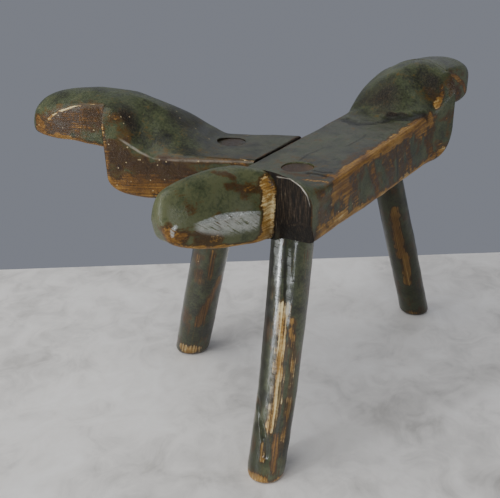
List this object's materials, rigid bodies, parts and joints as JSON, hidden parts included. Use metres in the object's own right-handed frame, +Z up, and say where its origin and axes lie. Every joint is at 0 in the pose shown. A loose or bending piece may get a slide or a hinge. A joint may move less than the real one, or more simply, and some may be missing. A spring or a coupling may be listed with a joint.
{
  "type": "birthing stool",
  "caption": "Low Y-shaped birthing stool of two heavy carved timbers with horn-like hand grips, standing on raked round legs.",
  "frame": {"origin": "centre of the bounding box, on the floor between the feet", "axes": "+Z up, +X along the long timber from its low grip to its high grip, +Y to the side the short timber points to"},
  "size_m": [0.5364, 0.3596, 0.347],
  "materials": {
    "timber_paint": "dark green oil paint on timber, worn through to orange-brown wood on the edges, varnished",
    "arm_paint": "dark green oil paint on timber, worn to brown on the front and the grip, varnished",
    "leg_paint": "dark green oil paint on round timber, streaked with ochre and brown where it has worn, varnished",
    "dowel_wood": "bare wood"
  },
  "bodies": {
    "root": {"seat_beam": "timber_paint", "seat_arm": "arm_paint", "leg_near": "leg_paint", "leg_left": "leg_paint", "leg_far": "leg_paint", "arm_dowel_front": "dowel_wood", "arm_dowel_back": "dowel_wood"}
  },
  "joints": []
}
